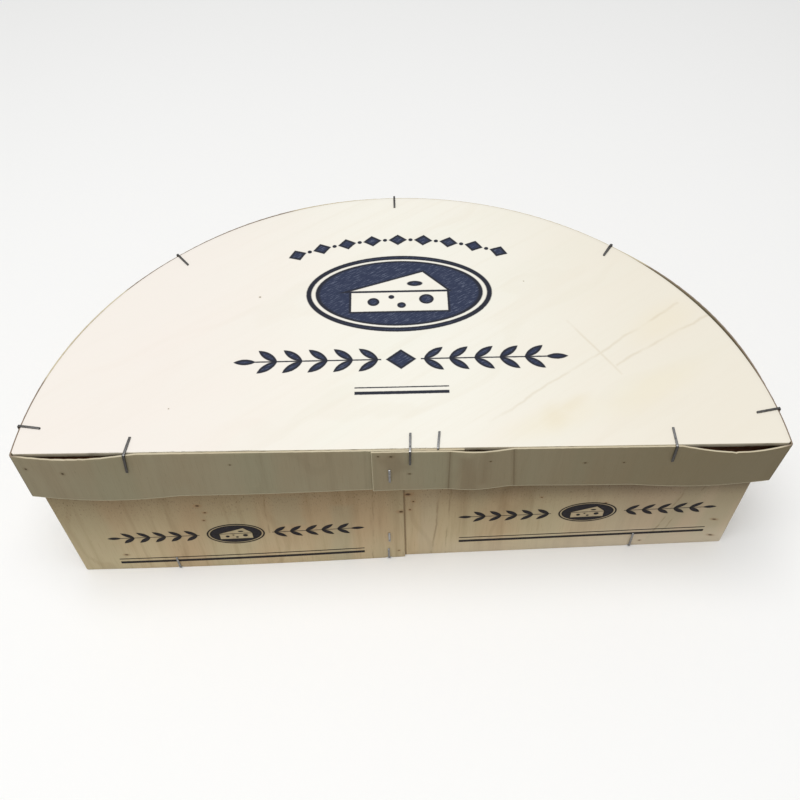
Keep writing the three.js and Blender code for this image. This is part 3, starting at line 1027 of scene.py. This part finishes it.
def tubFinish():
    finish = Finish("tub_veneer", Specular_IOR_Level=poplar["gloss"])
    look = tubWood
    tone, height, fibre = layWood(finish, look)
    vein = roughSheet(finish, "Z", *look["vein"])
    rightEnd = finish.between(vein.x, *look["rightEnd"])
    tone = finish.tint(tone, look["greyTone"], rightEnd * look["grey"])
    pale = finish.most(vein.bar(*look["streakPale"]), -vein.bar(*look["streakCut"]))
    tone = finish.lay(tone, look["paleCoat"], pale)
    tone = finish.lay(tone, look["coolCoat"], nearestBar(vein, onTub(look["patches"])))
    lines = [(*onTub([start, end]), width) for start, end, width in look["lines"]]
    tone = finish.lay(tone, look["lineCoat"], nearestLine(vein, lines), unbroken(finish, look))
    sheet = roughSheet(finish, "Z", look["shake"])
    tone = finish.lay(tone, look["seamCoat"], abs(sheet.x - look["seamLine"]))
    # painted shade: the wall darkens towards the lid, and more so just under the rim right of the seam
    tone = finish.lay(tone, look["paintedLidShadeCoat"], sheet.y)
    right = finish.between(vein.x, *look["rightHalf"]) * (1 + rightEnd * look["rightEndMore"])
    tone = finish.lay(tone, look["paintedTopShadeCoat"], sheet.y, right)
    # painted light, paler towards the foot
    tone = finish.lay(tone, look["paintedFootLightCoat"], sheet.y, right)
    specks = finish.cloud(finish.place("flat"), *look["specks"])
    tone = finish.lay(tone, look["speckCoat"], specks, finish.ease(sheet.y, *look["speckHeights"]))
    tone = layKnots(finish, tone, sheet, onTub(look["knots"]), look)

    sheet = roughSheet(finish, "Z", stamp["shake"])
    isLeft = finish.maths("GREATER_THAN", sheet.x, tubWalk.total / 2)
    leftX, leftUp, leftSlope = stamp["left"]
    rightX, rightUp, rightSlope = stamp["right"]
    x = sheet.x - rightX - isLeft * (tubWalk.left(leftX) - rightX)
    slope = isLeft * (leftSlope - rightSlope) + rightSlope
    up = sheet.y - rightUp - isLeft * (leftUp - rightUp) - x * slope
    stamped = Sheet(finish, x, up)
    upper = stamped.shifted(0, stamp["badgeUp"])
    drawing = finish.least(
        stamped.bar(0, 0, stamp["rule"], stamp["thick"]),
        stamped.bar(0, stamp["thinUp"], stamp["rule"], stamp["thin"]),
        drawBadge(upper, *stamp["badge"]), drawLaurel(upper, *stamp["laurel"]),
    )
    tone = layInk(finish, tone, stamped, drawing, tubInk)
    # painted shade where the wall is hidden under the lid
    tone = finish.lay(tone, look["paintedSlitShadeCoat"], sheet.y)
    return closeWood(finish, tone, height, fibre)


def rimFinish():
    finish = Finish("rim_veneer", Specular_IOR_Level=poplar["gloss"])
    look = rimWood
    tone, height, fibre = layWood(finish, look)
    sheet = roughSheet(finish, "Z", look["shake"])
    tone = finish.tint(
        tone, look["rightTone"], finish.between(sheet.x, *look["rightEnd"]) * look["right"]
    )
    vein = roughSheet(finish, "Z", *look["vein"])
    tone = finish.lay(tone, look["smudgeCoat"], nearestBar(vein, look["smudges"]))
    # painted shade beside the two kinks and in their creases
    kinks = nearestLine(sheet, look["kinks"])
    tone = finish.lay(tone, look["paintedKinkShadeCoat"], kinks)
    tone = finish.lay(tone, look["paintedCreaseShadeCoat"], kinks)
    bend = rimWalk.half + look["cornerPast"]
    corners = finish.least(abs(sheet.x - bend), abs(sheet.x - (rimWalk.total - bend)))
    tone = finish.lay(tone, look["cornerCoat"], corners)
    tone = layKnots(finish, tone, sheet, onWalk(look["knots"], rimWalk, rim["lapOuterEnd"]), look)
    foot = finish.ease(sheet.y + rim["depth"], *look["footEdge"])
    lapEnd = finish.ease(sheet.x - rim["lapOuterEnd"], *look["lapEdge"])
    tone = finish.tint(tone, look["edgeTone"], finish.most(foot, lapEnd) * look["edge"])
    return closeWood(finish, tone, height, fibre)


def panelFinish():
    finish = Finish("panel_veneer", Specular_IOR_Level=poplar["gloss"])
    look = panelWood
    tone, height, fibre = layWood(finish, look)
    sheet = roughSheet(finish, "Y", look["shake"])
    tone = finish.lay(tone, look["pinkCoat"], sheet.x)
    tone = finish.lay(tone, look["sandCoat"], sheet.x)
    vein = roughSheet(finish, "Y", *look["vein"])
    tone = finish.lay(tone, look["stainCoat"], nearestOval(vein, look["stains"]))
    tone = finish.lay(tone, look["blotchCoat"], nearestOval(vein, look["blotches"]))
    lines = nearestLine(vein, look["lines"])
    tone = finish.lay(tone, look["lineCoat"], lines, unbroken(finish, look))
    tone = layKnots(finish, tone, sheet, look["knots"], look)

    stamped = sheet.shifted(lidPrint["middle"])
    badge = stamped.shifted(0, lidPrint["badgeUp"])
    spray = stamped.shifted(0, lidPrint["laurelUp"])
    drawing = finish.least(
        drawBadge(badge, *lidPrint["badge"]),
        drawLaurel(spray, *lidPrint["laurel"]), spray.diamond(0, 0, *lidPrint["diamond"]),
        drawDiamonds(stamped.curved(lidPrint["rowRadius"]), *lidPrint["row"]),
        stamped.bar(0, lidPrint["thickUp"], lidPrint["rule"], lidPrint["thick"]),
        stamped.bar(0, lidPrint["thinUp"], lidPrint["rule"], lidPrint["thin"]),
    )
    tone = layInk(finish, tone, stamped, drawing, lidInk)
    return closeWood(finish, tone, height, fibre)


def cutFinish():
    finish = Finish("cut_edge", Specular_IOR_Level=poplar["gloss"])
    return closeWood(finish, *layWood(finish, cutWood))


# The rim's cut edge, with painted shade along the parts of the arc where its upper edge lies in shadow
def rimEdgeFinish():
    finish = Finish("rim_edge", Specular_IOR_Level=poplar["gloss"])
    tone, height, fibre = layWood(finish, rimCutWood)
    sheet = roughSheet(finish, "Z", rimWood["shake"])
    # painted shade in bands along the arc
    paintedShadeBands = []
    for start, end in rimCutWood["paintedEdgeShadeArcs"]:
        first, last = rimWalk.onArc(start), rimWalk.onArc(end)
        paintedShadeBands.append(((first + last) / 2, 0, (last - first) / 2, rimCutWood["paintedEdgeShadeHalf"]))
    tone = finish.lay(tone, rimCutWood["paintedEdgeShadeCoat"], nearestBar(sheet, paintedShadeBands))
    return closeWood(finish, tone, height, fibre)


# Flat wire with painted light and reflection: palest where it faces up, darker on its legs
def steelFinish():
    finish = Finish("galvanised_wire", Metallic=1)
    place = finish.node("ShaderNodeTexCoord", output="Object")
    grime = finish.cloud(place, [wireLook["grimeScale"]] * 3, 3, 0.6)
    tone = finish.tint(wireLook["dark"], wireLook["pale"], finish.axis(finish.place("paintedLight"), "X"))
    tone = finish.lay(tone, wireLook["grimeCoat"], grime)
    roughness = wireLook["roughness"] + grime * wireLook["grimeRoughness"]
    finish.feed(finish.shader.inputs["Base Color"], tone)
    finish.feed(finish.shader.inputs["Roughness"], roughness)
    return finish.material


cut = cutFinish()
wire = steelFinish()
makePanel([panelFinish(), cut])
makeRim([rimFinish(), rimEdgeFinish()])
makeTub([tubFinish(), cut, cut])
for node in sorted(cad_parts):
    if node.startswith("staple"):
        makeStaple(node, wire)
print("box made")

studio = {
    "floorSize": 6,  # metres, as are the places below
    "floorTone": shade(252, 252, 251),
    "floorRoughness": 0.9,
    "skyTone": (1, 1, 1, 1),
    "sky": 0.28,
    "key": 26,
    "keySize": 1.2,
    "keyPlace": (-0.15, -0.25, 1.75),
}


def makeFloor():
    bm = bmesh.new()
    bmesh.ops.create_grid(bm, x_segments=1, y_segments=1, size=studio["floorSize"] / 2)
    mesh = bpy.data.meshes.new("floor")
    bm.to_mesh(mesh)
    bm.free()
    floor = bpy.data.objects.new("floor", mesh)
    bpy.context.scene.collection.objects.link(floor)
    finish = Finish("floor_paper", Roughness=studio["floorRoughness"])
    finish.feed(finish.shader.inputs["Base Color"], studio["floorTone"])
    mesh.materials.append(finish.material)


def makeLamp():
    data = bpy.data.lights.new("key", "AREA")
    data.size = studio["keySize"]
    data.energy = studio["key"]
    lamp = bpy.data.objects.new("key", data)
    lamp.location = studio["keyPlace"]
    lamp.rotation_euler = (-lamp.location).to_track_quat("-Z", "Y").to_euler()
    bpy.context.scene.collection.objects.link(lamp)


def makeWorld():
    world = bpy.data.worlds.new("studio")
    world.use_nodes = True
    sky = world.node_tree.nodes["Background"]
    sky.inputs["Color"].default_value = studio["skyTone"]
    sky.inputs["Strength"].default_value = studio["sky"]
    bpy.context.scene.world = world


camera = {
    "place": (1.139, -300.254, 406.36),
    "lens": 40.489,
    "down": 51.365,  # degrees below the horizon
    "turn": 0.215,
    "roll": -1.739,
}


def makeCamera():
    data = bpy.data.cameras.new("photo_camera")
    data.sensor_width = 36
    data.lens = camera["lens"]
    eye = bpy.data.objects.new("photo_camera", data)
    turn = Matrix.Rotation(math.radians(camera["turn"]), 4, "Z")
    look = Matrix.Rotation(math.radians(90 - camera["down"]), 4, "X")
    roll = Matrix.Rotation(math.radians(camera["roll"]), 4, "Z")
    eye.matrix_world = Matrix.Translation(Vector(camera["place"]) * perMetre) @ turn @ look @ roll
    bpy.context.scene.collection.objects.link(eye)
    bpy.context.scene.camera = eye


bpy.context.scene.view_settings.view_transform = "Standard"
makeFloor()
makeWorld()
makeLamp()
makeCamera()
print("studio made")
